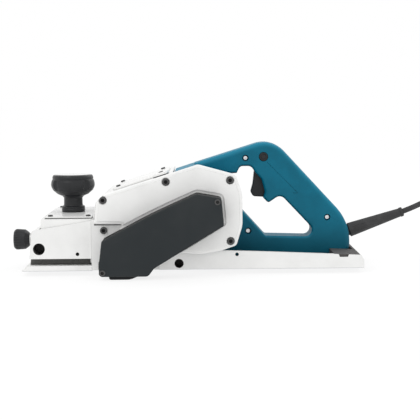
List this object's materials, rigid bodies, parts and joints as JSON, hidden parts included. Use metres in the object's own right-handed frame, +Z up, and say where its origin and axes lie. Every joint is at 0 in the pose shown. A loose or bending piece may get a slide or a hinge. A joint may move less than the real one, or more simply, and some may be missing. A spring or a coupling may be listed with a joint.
{
  "type": "electric hand planer",
  "caption": "Wide belt-driven electric hand planer with a closed rear handle, round front grip, sloping front base, side belt cover and a mains cord.",
  "frame": {"origin": "on the plane of the soles, half way along the tool and in the middle of the cut", "axes": "+X to the rear where the cord leaves, +Z up, -Y to the belt cover"},
  "size_m": [0.884, 0.2739, 0.1916],
  "materials": {
    "casting": "semi-gloss light grey paint",
    "deck": "light grey paint outside, matt dark grey deck",
    "teal_plastic": "fine grain",
    "black_plastic": "fine grain",
    "black_steel": "black oxide",
    "steel": "ground",
    "blade_steel": "sharpened",
    "alloy": "turned",
    "rubber": "matt",
    "copper": "enamelled copper",
    "carbon": "carbon",
    "brass": "turned"
  },
  "bodies": {
    "frame": {"frame_casting": "casting", "rear_base": "deck", "base_bolts": "steel", "top_plate": "casting", "top_plate_screws": "steel", "front_knob": "black_plastic", "front_knob_bolt": "steel", "front_knob_cap": "black_plastic", "chip_cover": "casting", "chip_cover_screws": "steel", "chip_outlet": "black_plastic", "side_housing": "casting", "side_housing_screws": "black_steel", "belt_cover": "black_plastic", "belt_cover_screws": "black_steel", "drive_belt": "rubber", "drum_bearing_near": "steel", "drum_bearing_far": "steel", "drum_bearing_cap": "steel", "motor_housing": "teal_plastic", "motor_end_cover": "teal_plastic", "motor_end_screws": "steel", "motor_bearing_near": "steel", "motor_bearing_far": "steel", "stator": "steel", "field_coils": "copper", "brushes": "carbon", "brush_holders": "brass", "handle_near": "teal_plastic", "handle_far": "teal_plastic", "handle_screws": "steel", "switch_body": "black_plastic", "trigger_pin": "steel", "cord_guard": "rubber", "cord_in_guard": "rubber", "cord_run": "rubber", "cord_coil": "rubber", "cord_tail": "rubber", "plug_body": "rubber", "plug_pins": "steel"},
    "front_shoe": {"front_base": "casting"},
    "depth_nut_body": {"depth_nut": "brass"},
    "depth_spindle": {"depth_screw": "steel", "depth_knob": "black_plastic", "depth_clip": "steel"},
    "cutter": {"cutter_drum": "alloy", "blades": "blade_steel", "blade_clamps": "steel", "clamp_screws": "steel", "drum_pulley": "alloy", "drum_pulley_bolt": "steel"},
    "rotor": {"motor_shaft": "steel", "armature": "steel", "fan": "black_plastic", "commutator": "copper", "motor_pulley": "alloy", "motor_pulley_bolt": "steel"},
    "trigger_body": {"trigger": "black_plastic"},
    "lock_button_body": {"lock_button": "black_plastic"}
  },
  "joints": [
    {"name": "front_base_slide", "type": "slide", "parent": "frame", "child": "front_shoe", "axis": [0.9871, 0, 0.1599], "range_m": [0, 0.01251]},
    {"name": "depth_nut_slide", "type": "slide", "parent": "frame", "child": "depth_nut_body", "axis": [1, 0, 0], "range_m": [0, 0.01235]},
    {"name": "depth_knob_turn", "type": "hinge", "parent": "frame", "child": "depth_spindle", "pos_m": [-0.253, 0, 0.0364], "axis": [1, 0, 0], "range_deg": [0, 2222.7]},
    {"name": "drum_spin", "type": "hinge", "parent": "frame", "child": "cutter", "pos_m": [-0.083, 0, 0.027], "axis": [0, 1, 0], "continuous": true},
    {"name": "motor_spin", "type": "hinge", "parent": "frame", "child": "rotor", "pos_m": [0.027, 0, 0.086], "axis": [0, 1, 0], "continuous": true},
    {"name": "trigger_pull", "type": "hinge", "parent": "frame", "child": "trigger_body", "pos_m": [0.113, 0, 0.143], "axis": [0, -1, 0], "range_deg": [0, 8]},
    {"name": "lock_button_press", "type": "slide", "parent": "frame", "child": "lock_button_body", "axis": [0, 1, 0], "range_m": [0, 0.004]}
  ],
  "couplings": [
    {"joint": "depth_nut_slide", "follows": "front_base_slide", "ratio": 0.98714},
    {"joint": "depth_knob_turn", "follows": "front_base_slide", "rad_per_m": 3101.2},
    {"joint": "motor_spin", "follows": "drum_spin", "ratio": 1.2}
  ]
}
